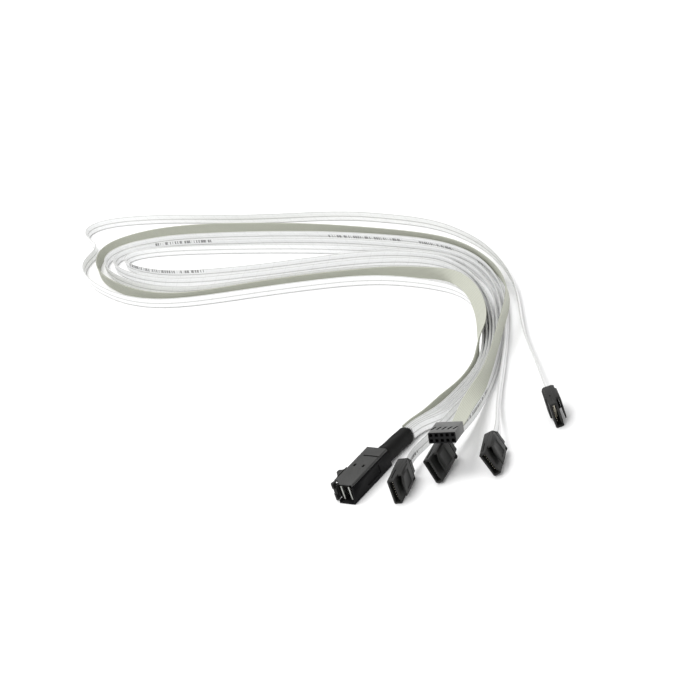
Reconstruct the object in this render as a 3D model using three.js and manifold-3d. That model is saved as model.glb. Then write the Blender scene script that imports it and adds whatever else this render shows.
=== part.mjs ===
// Flat breakout cable: one 36-position internal plug with a side latch, four
// flat data ribbons ending in 7-position plugs, and one flat sideband ribbon
// ending in a 2x5 header plug. Millimetres, +Z up, the cable lies on z = 0.
// +X runs along the multi-lane plug from its mouth to its cable end.
import * as THREE from 'three';
import * as BufferGeometryUtils from 'three/addons/utils/BufferGeometryUtils.js';
import Module from 'manifold-3d';

// ---------------------------------------------------------------- dimensions
const ORIGIN_X = -1.69;          // shift that centres the multi-lane plug and
const ORIGIN_Y = -1.555;         // its sleeve on the origin

const GAP = 0.3;                 // clearance between touching pieces

// multi-lane plug
const HOUSING_FRONT = -22.45;    // x of the mouth face
const HOUSING_REAR = 6.95;       // x of the rear face
const HOUSING_HALF_WIDTH = 5.72; // half of 11.44
const HOUSING_HEIGHT = 9.55;
const COVER_THICKNESS = 1.25;    // top plate
const MOUTH_Y0 = -4.92;          // mouth opening, right side
const MOUTH_Y1 = 2.15;           // mouth opening, left side
const MOUTH_Z0 = 0.6;
const LIP = 1.5;                 // floor of the mouth stands this far forward
const MOUTH_Z1 = 9.1;
const CARD_THICKNESS = 0.8;
const CARD_HEIGHT = 7.3;
const CARD_FRONT = 0.7;          // behind the mouth face
const CARD_REAR = 20.6;
const CARD_Y = [1.4, -2.9];     // centres of the two cards
const CARD_ROOT = 8.4;           // depth of the open mouth
const LATCH_FLOOR_Y = 2.45;      // floor of the latch channel
const LATCH_IN = 3.95;           // inner face of the latch arm
const LATCH_OUT = 5.2;           // outer face of the latch arm
const LATCH_HUMP_Y = 9.2;        // crest of the thumb tab
const TAB_INNER = 6.4;           // inner face of the tab above the arm
const TAB_TOP = 9.3;
const LATCH_Z0 = 1.75;
const LATCH_Z1 = 7.85;
const LATCH_ROOT = 20.4;         // where the arm meets its root, from the mouth
const LATCH_REAR = 22.9;         // rear end of the root, from the mouth

// sleeve
const SLEEVE_START = [6.95, -1.65, 4.8];
const SLEEVE_END = [27.12, -2.67, 4.15];
const SLEEVE_WIDTH = 7.0;
const SLEEVE_HEIGHT = 7.8;

// seven-position plugs
const SHELL_THICK = 3.87;
const SHELL_WIDE = 12.6;         // stands upright
const SHELL_LONG = 16.6;
const PLUG_LONG = 20.4;
const GRIP_REAR = 17.6;
const WING_OUT = 1.6;            // gap side of the wing from the shell
const WING_THICK = 0.6;
const WING_START = 2.8;
const WING_END = 13.3;
const WING_LOW = -4.6;           // lower end of the wing
const BRIDGE = 0.9;              // web that joins wing and shell at the top
const SLOT_LONG = 10.8;
const SLOT_THICK = 1.8;
const SLOT_DEEP = 6.2;
const KEY_LEG = 0.45;
const CONTACT_PITCH = 1.27;
const PLUGS = [                  // front-face centre, yaw and roll in degrees
  { at: [-19.42, -26.99, 6.35], yaw: 17.379, roll: 0 },
  { at: [-2.52, -37.36, 6.97], yaw: 12.694, roll: 14.433 },
  { at: [6.91, -62.66, 7.05], yaw: 24.763, roll: 17.584 },
  { at: [48.07, -73.37, 6.35], yaw: 42.308, roll: 0 },
];

// header plug, 2 rows of 5
const HEADER_PITCH = 2.54;
const HEADER_WIDE = 12.7;
const HEADER_HIGH = 5.1;
const HEADER_LONG = 14.0;
const HEADER_FRONT = [6.34, -40.95, 19.44];
const HEADER_BACKWARD = [0.9035, 0.3587, -0.2344];
const HEADER_UP = [0.254, -0.0078, 0.9672];
const CAVITY = 1.5;              // square hole for a pin
const CAVITY_DEEP = 9.2;

// ribbons: height on edge and thickness
const RIBBON_HIGH = 5.8;
const RIBBON_THICK = 1.0;
const SIDEBAND_HIGH = 7.0;
const SIDEBAND_THICK = 0.6;

// centre-lines: x, y, z and lean of the ribbon in degrees
const ROUTES = {
  RIBBON_1: [
    [27.29, -5.2, 4.13, 0], [33.14, -6.34, 3.77, 0], [43.24, -12.76, 3.2, 0], [49.98, -14.59, 3.01, 0],
    [62.94, -15.36, 2.95, 0], [73.85, -14.02, 2.95, 0], [88.21, -9.73, 2.95, 0], [102.69, -2.94, 2.95, 0],
    [122.42, 8.88, 2.95, 0], [136.68, 19.85, 2.95, 0], [151.15, 33.65, 2.95, 0], [161.38, 45.95, 2.95, 0],
    [169.96, 59.45, 2.95, 0], [175.83, 72.14, 2.95, 0], [178.77, 82.73, 2.95, 0], [180.07, 96.66, 2.95, 0],
    [179.49, 113.65, 2.95, 0], [176.71, 131.43, 2.95, 0], [169.31, 158.43, 2.95, 0], [160.49, 187.11, 2.95, 0],
    [153.26, 216.23, 2.95, 0], [149.96, 235.95, 2.95, 0], [149.32, 250.93, 2.95, 0], [150.64, 264.86, 2.95, 0],
    [153.83, 277.45, 2.95, 0], [157.3, 284.63, 2.95, 0], [160.17, 287.37, 2.95, 0], [163.07, 287.82, 2.95, 0],
    [165.59, 286.27, 2.95, 0], [168.69, 281.17, 2.95, 0], [172.03, 269.66, 2.95, 0], [176.07, 242.97, 2.95, 0],
    [179.12, 213.11, 2.95, 0], [181.45, 183.2, 2.95, 0], [182.85, 153.22, 2.95, 0], [182.85, 123.22, 2.95, 0],
    [181.7, 93.23, 2.95, 0], [179.83, 77.35, 2.95, 0], [176.45, 65.85, 2.95, 0], [170.34, 53.26, 2.95, 0],
    [161.93, 40.85, 2.95, 0], [151.28, 28.92, 2.95, 0], [138.36, 17.88, 2.95, 0], [119.37, 4.9, 2.95, 0],
    [99.35, -6.42, 2.95, 0], [86.48, -11.91, 2.95, 0], [75.79, -14.41, 2.95, 0], [49.86, -16.14, 3.74, 0],
    [20.06, -18.7, 6, 0], [7.07, -18.93, 6.34, 0], [0.33, -20.81, 6.35, 0],
  ],
  RIBBON_2: [
    [27.36, -3.84, 4.13, 0], [33.26, -4.78, 3.77, 0], [43.81, -10.45, 3.2, 0], [51.61, -12.15, 3, 0],
    [65.6, -12.67, 2.95, 0], [77.48, -10.98, 2.95, 0], [89.88, -7.09, 2.95, 0], [105.2, 0.28, 2.95, 0],
    [122.19, 10.85, 2.95, 0], [136.31, 22.02, 2.95, 0], [150.59, 36.04, 2.95, 0], [159.88, 47.82, 2.95, 0],
    [166.81, 59.98, 2.95, 0], [171.41, 72.13, 2.95, 0], [173.54, 83.94, 2.95, 0], [173.75, 99.94, 2.95, 0],
    [171.65, 117.82, 2.95, 0], [166.68, 139.26, 2.95, 0], [157.91, 167.98, 2.95, 0], [149.53, 196.81, 2.95, 0],
    [143.85, 221.17, 2.95, 0], [142.01, 237.07, 2.95, 0], [142.28, 252.07, 2.95, 0], [144.59, 266.89, 2.95, 0],
    [148.62, 280.3, 2.95, 0], [153.19, 289.18, 2.95, 0], [157.18, 293.64, 2.95, 0], [160.7, 295.48, 2.95, 0],
    [163.68, 295.57, 2.95, 0], [167.23, 293.8, 2.95, 0], [170.97, 289.14, 2.95, 0], [174.92, 279.96, 2.95, 0],
    [179.21, 263.51, 2.95, 0], [183.18, 234.76, 2.95, 0], [186.34, 204.91, 2.95, 0], [188.71, 174.97, 2.95, 0],
    [189.52, 144.96, 2.95, 0], [188.52, 114.95, 2.95, 0], [186.31, 90.04, 2.95, 0], [183.01, 74.38, 2.95, 0],
    [178.18, 61.24, 2.95, 0], [171.47, 48.95, 2.95, 0], [162.51, 36.91, 2.95, 0], [151.39, 25.41, 2.95, 0],
    [137.38, 14.1, 2.95, 0], [117.23, 1.04, 2.95, 0], [95.16, -10.73, 2.95, 0], [75.75, -18.79, 2.95, 0],
    [56.66, -24.76, 3.56, 0], [39.28, -29.07, 5.47, 1.5], [24.52, -31.34, 6.91, 10.1],
    [17.67, -32.82, 6.97, 14.4],
  ],
  RIBBON_3: [
    [27.43, -2.49, 4.13, 0], [33.36, -3.2, 3.77, 0], [44.29, -8.1, 3.2, 0], [53.15, -9.55, 2.98, 0],
    [69.14, -9.87, 2.95, 0], [80.99, -8.03, 2.95, 0], [93.3, -3.89, 2.95, 0], [107.52, 3.44, 2.95, 0],
    [123.33, 13.98, 2.95, 0], [137.06, 25.6, 2.95, 0], [149.38, 38.72, 2.95, 0], [157.46, 50.14, 2.95, 0],
    [162.64, 60.96, 2.95, 0], [165.58, 71.55, 2.95, 0], [166.79, 84.48, 2.95, 0], [166.07, 102.46, 2.95, 0],
    [163.16, 121.23, 2.95, 0], [155.63, 150.28, 2.95, 0], [146.46, 178.85, 2.95, 0], [137.31, 207.42, 2.95, 0],
    [134.23, 222.1, 2.95, 0], [133.4, 236.07, 2.95, 0], [134.55, 251.02, 2.95, 0], [137.71, 265.67, 2.95, 0],
    [143.09, 280.74, 2.95, 0], [148.66, 291.35, 2.95, 0], [153.67, 297.57, 2.95, 0], [158.45, 301.17, 2.95, 0],
    [163.18, 302.69, 2.95, 0], [167.13, 302.26, 2.95, 0], [171.41, 299.75, 2.95, 0], [175.9, 294.4, 2.95, 0],
    [180.82, 284.58, 2.95, 0], [185.3, 270.27, 2.95, 0], [188.95, 249.59, 2.95, 0], [192.4, 219.78, 2.95, 0],
    [194.84, 189.87, 2.95, 0], [195.98, 159.89, 2.95, 0], [195.51, 129.88, 2.95, 0], [193.54, 101.95, 2.95, 0],
    [190.41, 84.23, 2.95, 0], [185.6, 68.97, 2.95, 0], [179.19, 55.42, 2.95, 0], [170.38, 42.08, 2.95, 0],
    [159.25, 29.23, 2.95, 0], [146.62, 17.85, 2.95, 0], [129.51, 5.69, 2.95, 0], [103.66, -9.54, 2.95, 0],
    [77.17, -23.66, 2.96, 0], [54.46, -36.28, 3.87, 0], [42.83, -43.91, 5.5, 3.4], [33.74, -49.95, 6.82, 12.3],
    [26.61, -53.55, 7.04, 16.3], [25.7, -53.99, 7.05, 17.6],
  ],
  RIBBON_4: [
    [27.5, -1.13, 4.13, 0], [33.46, -1.62, 3.78, 0], [45.82, -5.59, 3.16, 0], [65.74, -7.33, 2.95, 0],
    [77.72, -6.79, 2.95, 0], [87.44, -4.45, 2.95, 0], [99.3, 0.86, 2.95, 0], [115.46, 10.86, 2.95, 0],
    [128.83, 21.37, 2.95, 0], [138.58, 31.41, 2.95, 0], [145.49, 41.21, 2.95, 0], [150.02, 51.23, 2.95, 0],
    [153.13, 63.85, 2.95, 0], [155.27, 82.73, 2.95, 0], [155.41, 100.73, 2.95, 0], [153.47, 116.62, 2.95, 0],
    [147.66, 139.91, 2.95, 0], [138.46, 168.49, 2.95, 0], [128.53, 196.82, 2.95, 0], [122.83, 217.04, 2.95, 0],
    [120.8, 230.89, 2.95, 0], [120.85, 244.89, 2.95, 0], [123.11, 259.71, 2.95, 0], [127.71, 275.04, 2.95, 0],
    [134.85, 291.57, 2.95, 0], [141.55, 302.7, 2.95, 0], [148.14, 310.21, 2.95, 0], [153.97, 314.03, 2.95, 0],
    [160.73, 315.81, 2.95, 0], [167.56, 317.27, 2.95, 0], [171.65, 320.09, 2.95, 0], [176.23, 326.62, 2.95, 0],
    [181.88, 336.06, 2.95, 0], [186.2, 340.18, 2.95, 0], [189.95, 341.47, 2.95, 0], [192.89, 341, 2.95, 0],
    [196.11, 338.67, 2.95, 0], [199.28, 333.6, 2.95, 0], [202.6, 323.13, 2.95, 0], [206, 302.4, 2.95, 0],
    [208.28, 272.47, 2.95, 0], [209.82, 242.48, 2.95, 0], [212.72, 212.6, 2.95, 0], [216.37, 182.8, 2.95, 0],
    [217.5, 161.83, 2.95, 0], [216.27, 136.85, 2.95, 0], [213.25, 112.02, 2.95, 0], [209.37, 96.5, 2.95, 0],
    [202.47, 78.79, 2.95, 0], [193.75, 61.9, 2.95, 0], [183.71, 46.96, 2.95, 0], [170.16, 30.9, 2.95, 0],
    [155.78, 17, 2.95, 0], [136.75, 2.35, 2.99, 0], [113.61, -15.13, 3.57, 0], [91.14, -34.99, 4.95, 0],
    [68.57, -54.74, 6.32, 0], [63.38, -59.44, 6.35, 0],
  ],
  SIDEBAND: [
    [27.56, 0.02, 4.14, 0], [33.52, -0.33, 3.87, 0], [41.29, -2.09, 3.57, 0], [54.18, -3.65, 3.55, 0],
    [65.95, -5.68, 3.55, 0], [76.85, -5.4, 3.57, 0], [85.49, -3.41, 3.79, 0.9], [94.54, 0.26, 5.06, 5.7],
    [101.59, 3.4, 6.91, 22.5], [109.74, 6.87, 8.6, 50], [116.68, 10.82, 9.18, 60.6], [128.57, 19.94, 8.85, 70],
    [139.43, 30.27, 8.71, 70], [145.05, 37.28, 9.1, 65.2], [150.23, 45.82, 9.24, 40.9],
    [155.04, 55.65, 8.18, 18.6], [159.68, 67.58, 5.97, 4.1], [162.05, 77.18, 4.54, 0], [163, 88.1, 3.77, 0],
    [162.07, 101.05, 3.56, 0], [157.99, 120.62, 3.55, 0], [150, 149.54, 3.55, 0], [142.01, 173.22, 3.55, 0],
    [131.19, 201.2, 3.55, 0], [126.95, 215.58, 3.55, 0], [125.32, 228.46, 3.55, 0], [125.89, 242.43, 3.55, 0],
    [128.94, 258.13, 3.55, 0], [134.55, 275.22, 3.55, 0], [140.57, 287.84, 3.55, 0], [146.87, 296.85, 3.55, 0],
    [154.04, 303.79, 3.55, 0], [160.86, 307.93, 3.55, 0], [166.64, 309.42, 3.55, 0], [171.58, 308.83, 3.55, 0],
    [175.97, 306.49, 3.55, 0], [181.51, 300.75, 3.55, 0], [187.19, 291.35, 3.55, 0], [191.78, 279.21, 3.55, 0],
    [195.71, 261.65, 3.55, 0], [198.81, 235.84, 3.55, 0], [200.82, 205.91, 3.55, 0], [201.5, 175.92, 3.55, 0],
    [200.46, 145.94, 3.55, 0], [198.41, 116.01, 3.55, 0], [195.42, 93.22, 3.55, 0], [191.54, 77.71, 3.55, 0],
    [185.99, 63.79, 3.61, 0], [178.56, 50.78, 4.12, 0], [168.46, 37.21, 5.73, 0], [154.3, 21.98, 8.62, 0],
    [141.69, 10.79, 10.66, 0], [131.75, 4.12, 11.26, 0], [117.23, -2.57, 11.16, 0], [89.5, -14.02, 10.54, 0],
    [70.8, -21.08, 10.2, 10], [61.23, -23.99, 10.33, 28.9], [48.64, -27.1, 11.1, 59.9],
    [36.48, -31.44, 12.57, 78.6], [25.58, -36.07, 14.49, 84], [20.15, -38.25, 15.84, 84],
  ],};

// ------------------------------------------------------------------- helpers
const wasm = await Module();
wasm.setup();

function toManifold(geometry) {
  let g = geometry.clone();
  g.deleteAttribute('normal');
  g.deleteAttribute('uv');
  g = BufferGeometryUtils.mergeVertices(g, 1e-5);
  const index = g.index ? g.index.array : [...Array(g.attributes.position.count).keys()];
  return new wasm.Manifold(new wasm.Mesh({
    numProp: 3,
    vertProperties: Float32Array.from(g.attributes.position.array),
    triVerts: Uint32Array.from(index),
  }));
}

function toGeometry(manifold) {
  const mesh = manifold.getMesh();
  const g = new THREE.BufferGeometry();
  const position = new Float32Array((mesh.vertProperties.length / mesh.numProp) * 3);
  for (let i = 0; i < position.length / 3; i += 1) {
    position[3 * i] = mesh.vertProperties[mesh.numProp * i];
    position[3 * i + 1] = mesh.vertProperties[mesh.numProp * i + 1];
    position[3 * i + 2] = mesh.vertProperties[mesh.numProp * i + 2];
  }
  g.setAttribute('position', new THREE.BufferAttribute(position, 3));
  g.setIndex(Array.from(mesh.triVerts));
  g.computeVertexNormals();
  return g;
}

const box = (x0, x1, y0, y1, z0, z1) =>
  new THREE.BoxGeometry(x1 - x0, y1 - y0, z1 - z0)
    .translate((x0 + x1) / 2, (y0 + y1) / 2, (z0 + z1) / 2);

// a profile in the XY plane carried up Z from z0 to z1
function prism(points, z0, z1) {
  const shape = new THREE.Shape(points.map(([x, y]) => new THREE.Vector2(x, y)));
  return new THREE.ExtrudeGeometry(shape, { depth: z1 - z0, bevelEnabled: false }).translate(0, 0, z0);
}

// a profile in the YZ plane carried along X from x0 to x1
function bar(points, x0, x1) {
  const shape = new THREE.Shape(points.map(([y, z]) => new THREE.Vector2(y, z)));
  return new THREE.ExtrudeGeometry(shape, { depth: x1 - x0, bevelEnabled: false })
    .applyMatrix4(new THREE.Matrix4().set(0, 0, 1, x0, 1, 0, 0, 0, 0, 1, 0, 0, 0, 0, 0, 1));
}

// a profile in the XZ plane carried along Y from y0 to y1
function slab(points, y0, y1) {
  const shape = new THREE.Shape(points.map(([x, z]) => new THREE.Vector2(x, z)));
  return new THREE.ExtrudeGeometry(shape, { depth: y1 - y0, bevelEnabled: false })
    .applyMatrix4(new THREE.Matrix4().set(1, 0, 0, 0, 0, 0, -1, y1, 0, 1, 0, 0, 0, 0, 0, 1));
}

// rectangle in YZ with chamfered corners
const rect = (y0, y1, z0, z1, c) => [
  [y0 + c, z0], [y1 - c, z0], [y1, z0 + c], [y1, z1 - c],
  [y1 - c, z1], [y0 + c, z1], [y0, z1 - c], [y0, z0 + c],
];

function cut(base, ...tools) {
  let m = toManifold(base);
  for (const t of tools) m = m.subtract(toManifold(t));
  return toGeometry(m);
}

function join(...parts) {
  let m = toManifold(parts[0]);
  for (const p of parts.slice(1)) m = m.add(toManifold(p));
  return toGeometry(m);
}

const group = new THREE.Group();
const SHIFT = new THREE.Matrix4().makeTranslation(ORIGIN_X, ORIGIN_Y, 0);

const material = (color, roughness, metalness) =>
  new THREE.MeshStandardMaterial({ color, roughness, metalness });
const BLACK = material(0x161617, 0.55, 0);
const BLACK_SOFT = material(0x141415, 0.7, 0);
const DARK_GREY = material(0x26272a, 0.5, 0);
const CARD_GREEN = material(0x2c4a2f, 0.5, 0);
const GOLD = material(0xc9a24b, 0.3, 1);
const CLEAR = material(0xd9dbdc, 0.3, 0);
const GREY = material(0xa9aa9d, 0.5, 0);

function put(name, geometry, mat, matrix = null) {
  let g = geometry;
  if (matrix) g = g.clone().applyMatrix4(matrix);
  g = g.clone().applyMatrix4(SHIFT);
  const mesh = new THREE.Mesh(g, mat);
  mesh.name = name;
  group.add(mesh);
}

// --------------------------------------------------------- multi-lane plug
const X = (fromMouth) => HOUSING_FRONT + fromMouth;
const W = HOUSING_HALF_WIDTH;
const SHELL_TOP = HOUSING_HEIGHT - COVER_THICKNESS - 0.15;
const COVER_BOTTOM = HOUSING_HEIGHT - COVER_THICKNESS + 0.15;
const cardBay = (yc) => box(X(CARD_ROOT - 0.01), X(CARD_REAR + 0.8), yc - CARD_THICKNESS / 2 - GAP,
  yc + CARD_THICKNESS / 2 + GAP, MOUTH_Z0, MOUTH_Z1);

{
  const shell = bar([
    [-W + 0.5, 0], [W - 0.5, 0], [W, 0.5], [W, SHELL_TOP], [-W, SHELL_TOP], [-W, 0.5],
  ], X(-LIP), HOUSING_REAR);
  const body = cut(shell,
    slab([[X(-LIP - 2), -1], [X(-LIP), -1], [X(-LIP), 0.4], [X(0.5), SHELL_TOP], [X(0.5), SHELL_TOP + 1], [X(-LIP - 2), SHELL_TOP + 1]],
      -W - 1, W + 1),                                                            // raked mouth face
    box(X(-LIP - 1), X(CARD_ROOT), MOUTH_Y0, MOUTH_Y1, MOUTH_Z0, MOUTH_Z1),      // mouth
    box(X(-LIP - 1), X(4.2), MOUTH_Y1 - 0.2, LATCH_FLOOR_Y + 0.2, MOUTH_Z0, MOUTH_Z1), // mouth opens to the latch channel
    cardBay(CARD_Y[0]), cardBay(CARD_Y[1]),
    box(X(21.2), HOUSING_REAR + 1, MOUTH_Y0, MOUTH_Y1, MOUTH_Z0, MOUTH_Z1),      // wire bay
    box(X(-LIP - 1), X(LATCH_REAR + GAP), LATCH_FLOOR_Y, W + 1, LATCH_Z0 - GAP, SHELL_TOP + 1), // latch channel
    box(X(24.4), X(25.2), W - 0.45, W + 1, 1.2, SHELL_TOP - 0.8),                // groove, left flank
    box(X(-LIP - 1), X(2.9), 3.3, W + 1, -1, LATCH_Z0),                          // corner under the lower hook
    box(X(10.5), X(21), -W - 1, -W + 0.35, 2.2, 6.4),                            // recess, right flank
  );
  put('minisas_body', body, BLACK);
}
{
  const ear = bar([
    [W - 1, COVER_BOTTOM], [6.3, COVER_BOTTOM], [6.3, HOUSING_HEIGHT - 0.35], [6.05, HOUSING_HEIGHT], [W - 1, HOUSING_HEIGHT],
  ], X(2.7), X(4.6));
  const cover = cut(join(bar([
    [-W, COVER_BOTTOM], [W, COVER_BOTTOM], [W, HOUSING_HEIGHT - 0.2], [W - 0.2, HOUSING_HEIGHT],
    [-W + 0.45, HOUSING_HEIGHT], [-W, HOUSING_HEIGHT - 0.45],
  ], X(0.2), HOUSING_REAR), ear),
  box(X(-1), X(CARD_ROOT), MOUTH_Y0, MOUTH_Y1, COVER_BOTTOM - 1, MOUTH_Z1),      // roof of the mouth
  box(X(14.25), X(16.15), 2.26, 3.46, COVER_BOTTOM - 1, HOUSING_HEIGHT + 1),     // snap window
  box(X(14.25), X(16.15), -2.66, -1.46, COVER_BOTTOM - 1, HOUSING_HEIGHT + 1),   // snap window
  box(X(22.4), X(23.4), -W - 1, 3.2, COVER_BOTTOM + 0.35, HOUSING_HEIGHT + 1),   // cross groove
  prism([[X(-1), 1.9], [X(0.6), 1.9], [X(2.4), 4.0], [X(2.7), 4.0], [X(2.7), W + 2], [X(-1), W + 2]], COVER_BOTTOM - 1, HOUSING_HEIGHT + 1), // corner over the hooks
  prism([[X(-1), -W - 1], [X(0.9), -W - 1], [X(0.2), -W + 2.2], [X(-1), -W + 2.2]], COVER_BOTTOM - 1, HOUSING_HEIGHT + 1)); // right end set back
  put('minisas_cover', cover, BLACK);
}
CARD_Y.forEach((yc, i) => {
  const zc = (MOUTH_Z0 + SHELL_TOP) / 2;
  const z0 = Math.max(MOUTH_Z0 + 0.3, zc - CARD_HEIGHT / 2);
  const c = 0.4;
  const h = CARD_THICKNESS / 2;
  put(`paddle_card_${i + 1}`, prism([
    [X(CARD_FRONT), yc - h + c], [X(CARD_FRONT + c), yc - h], [X(CARD_REAR), yc - h],
    [X(CARD_REAR), yc + h], [X(CARD_FRONT + c), yc + h], [X(CARD_FRONT), yc + h - c],
  ], z0, Math.min(z0 + CARD_HEIGHT, SHELL_TOP - 0.05)), CARD_GREEN);
});
put('inner_mould', bar(rect(MOUTH_Y0 + GAP, MOUTH_Y1 - GAP, MOUTH_Z0 + GAP, SHELL_TOP, 0.5),
  X(21.5), HOUSING_REAR - 0.2), BLACK_SOFT);
{
  // latch: arm with a thumb tab, two hooks at the mouth and a root
  const arm = prism([
    [X(1.2), LATCH_IN], [X(LATCH_ROOT), LATCH_IN], [X(LATCH_ROOT), LATCH_FLOOR_Y + GAP],
    [X(LATCH_REAR), LATCH_FLOOR_Y + GAP], [X(LATCH_REAR), LATCH_OUT], [X(1.2), LATCH_OUT],
  ], LATCH_Z0, LATCH_Z1);
  const tabPlan = (inner) => [
    [X(5.0), inner], [X(13.4), inner], [X(13.4), Math.max(inner + 0.1, 6.3)], [X(11.6), Math.max(inner + 0.3, 6.7)],
    [X(11.0), LATCH_HUMP_Y - 1.7], [X(10.7), LATCH_HUMP_Y - 0.3], [X(10.2), LATCH_HUMP_Y], [X(8.8), LATCH_HUMP_Y],
    [X(8.3), LATCH_HUMP_Y - 0.5], [X(6.0), LATCH_HUMP_Y - 2.5], [X(5.0), Math.max(inner + 0.1, 6.5)],
  ];
  const tab = prism(tabPlan(LATCH_OUT - 0.4), LATCH_Z0 + 0.6, LATCH_Z1);
  const tabTop = prism(tabPlan(TAB_INNER), LATCH_Z1 - 0.1, TAB_TOP);
  const hook = (z0, z1, rear) => prism([
    [X(-0.3), LATCH_OUT - 0.2], [X(0.2), LATCH_IN + 1.0], [X(rear), LATCH_IN + 1.0], [X(rear), LATCH_OUT + 1.0],
    [X(0.9), LATCH_OUT + 1.35], [X(0.3), LATCH_OUT + 1.35], [X(-0.3), LATCH_OUT + 0.9],
  ], z0, z1);
  const web = (z0, z1) => prism([
    [X(0.0), LATCH_IN + 0.2], [X(2.2), LATCH_IN + 0.2], [X(2.2), LATCH_OUT + 0.75], [X(0.0), LATCH_OUT + 0.75],
  ], z0, z1);
  const grooves = [8.6, 7.5, 6.4].map((d) => box(X(d) - 0.15, X(d) + 0.15, LATCH_HUMP_Y - 3.0 + (d - 6.4) * 0.85, LATCH_HUMP_Y + 1,
    LATCH_Z0, LATCH_Z1 - 0.8));
  put('release_latch', cut(join(arm, tab, tabTop, hook(0.5, 3.9, 2.3), hook(6.6, 9.2, 2.35), web(3.6, 6.8)), ...grooves), BLACK);
}

// ------------------------------------------------------------------- sweeps
// A curve whose rings and frames are given: width along U, thickness along N.
class FramedCurve extends THREE.Curve {
  constructor(points, tangents, across, through) {
    super();
    this.rings = { points, tangents, across, through };
  }

  getPoint(t, target = new THREE.Vector3()) {
    const n = this.rings.points.length - 1;
    const f = Math.min(Math.max(t, 0), 1) * n;
    const i = Math.min(Math.floor(f), n - 1);
    return target.copy(this.rings.points[i]).lerp(this.rings.points[i + 1], f - i);
  }

  getSpacedPoints() {
    return this.rings.points.map((p) => p.clone());
  }

  computeFrenetFrames() {
    return {
      tangents: this.rings.tangents,
      normals: this.rings.across,
      binormals: this.rings.through,
    };
  }
}

function ribbonFrames(rows) {
  const points = rows.map(([x, y, z]) => new THREE.Vector3(x, y, z));
  const up = new THREE.Vector3(0, 0, 1);
  const tangents = [];
  const across = [];
  const through = [];
  points.forEach((p, i) => {
    const a = points[Math.max(i - 1, 0)];
    const b = points[Math.min(i + 1, points.length - 1)];
    const t = b.clone().sub(a).normalize();
    const side = t.clone().cross(up).normalize();
    const upv = side.clone().cross(t);
    const lean = THREE.MathUtils.degToRad(rows[i][3]);
    const u = upv.multiplyScalar(Math.cos(lean)).addScaledVector(side, Math.sin(lean)).normalize();
    tangents.push(t);
    across.push(u);
    through.push(t.clone().cross(u).normalize());
  });
  return { points, tangents, across, through };
}

function ribbon(rows, high, thick) {
  const { points, tangents, across, through } = ribbonFrames(rows);
  const h = high / 2;
  const t = thick / 2;
  const c = thick * 0.3;
  const shape = new THREE.Shape([
    [-h + c, -t], [h - c, -t], [h, -t + c], [h, t - c],
    [h - c, t], [-h + c, t], [-h, t - c], [-h, -t + c],
  ].map(([x, y]) => new THREE.Vector2(x, y)));
  return new THREE.ExtrudeGeometry(shape, {
    steps: points.length - 1,
    bevelEnabled: false,
    extrudePath: new FramedCurve(points, tangents, across, through),
  });
}

{
  // sleeve: rounded oval section that narrows a little at its far end
  const start = new THREE.Vector3(...SLEEVE_START);
  const end = new THREE.Vector3(...SLEEVE_END);
  const along = end.clone().sub(start).normalize();
  const side = new THREE.Vector3(0, 0, 1).cross(along).normalize();
  const up = along.clone().cross(side);
  const N = 20;
  const ring = (centre, k, square) => {
    const out = [];
    for (let i = 0; i < N; i += 1) {
      const a = (2 * Math.PI * i) / N;
      const c = Math.cos(a);
      const s = Math.sin(a);
      const r = 1 / ((Math.abs(c) ** 3 + Math.abs(s) ** 3) ** (1 / 3));
      const w = (SLEEVE_WIDTH / 2) * k * r * c;
      const h = (SLEEVE_HEIGHT / 2) * k * r * s;
      out.push(square
        ? new THREE.Vector3(centre.x, centre.y + w, centre.z + h)
        : centre.clone().addScaledVector(side, w).addScaledVector(up, h));
    }
    return out;
  };
  const length = start.distanceTo(end);
  const at = (s) => start.clone().addScaledVector(along, s);
  const rings = [
    ring(new THREE.Vector3(HOUSING_REAR + GAP, SLEEVE_START[1], SLEEVE_START[2] - 0.01), 1.0, true),
    ring(at(2.2), 1.03, false), ring(at(3.4), 1.0, false), ring(at(length * 0.5), 0.985, false),
    ring(at(length - 1.5), 1.0, false), ring(at(length - 0.4), 0.97, false), ring(at(length), 0.88, false),
  ];
  // built on an extrusion's own grid: every ring of the straight bar moves to its place
  const shape = new THREE.Shape(rings[0].map((_, i) => {
    const a = (2 * Math.PI * i) / N;
    return new THREE.Vector2(Math.cos(a), Math.sin(a));
  }));
  const g = new THREE.ExtrudeGeometry(shape, { depth: rings.length - 1, steps: rings.length - 1, bevelEnabled: false });
  const p = g.attributes.position;
  for (let i = 0; i < p.count; i += 1) {
    const k = Math.round(p.getZ(i));
    const a = Math.atan2(p.getY(i), p.getX(i));
    const j = ((Math.round((a * N) / (2 * Math.PI)) % N) + N) % N;
    p.setXYZ(i, rings[k][j].x, rings[k][j].y, rings[k][j].z);
  }
  put('strain_sleeve', g, BLACK_SOFT);
}

put('data_ribbon_1', ribbon(ROUTES.RIBBON_1, RIBBON_HIGH, RIBBON_THICK), CLEAR);
put('data_ribbon_2', ribbon(ROUTES.RIBBON_2, RIBBON_HIGH, RIBBON_THICK), CLEAR);
put('data_ribbon_3', ribbon(ROUTES.RIBBON_3, RIBBON_HIGH, RIBBON_THICK), CLEAR);
put('data_ribbon_4', ribbon(ROUTES.RIBBON_4, RIBBON_HIGH, RIBBON_THICK), CLEAR);
put('sideband_ribbon', ribbon(ROUTES.SIDEBAND, SIDEBAND_HIGH, SIDEBAND_THICK), GREY);

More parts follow.
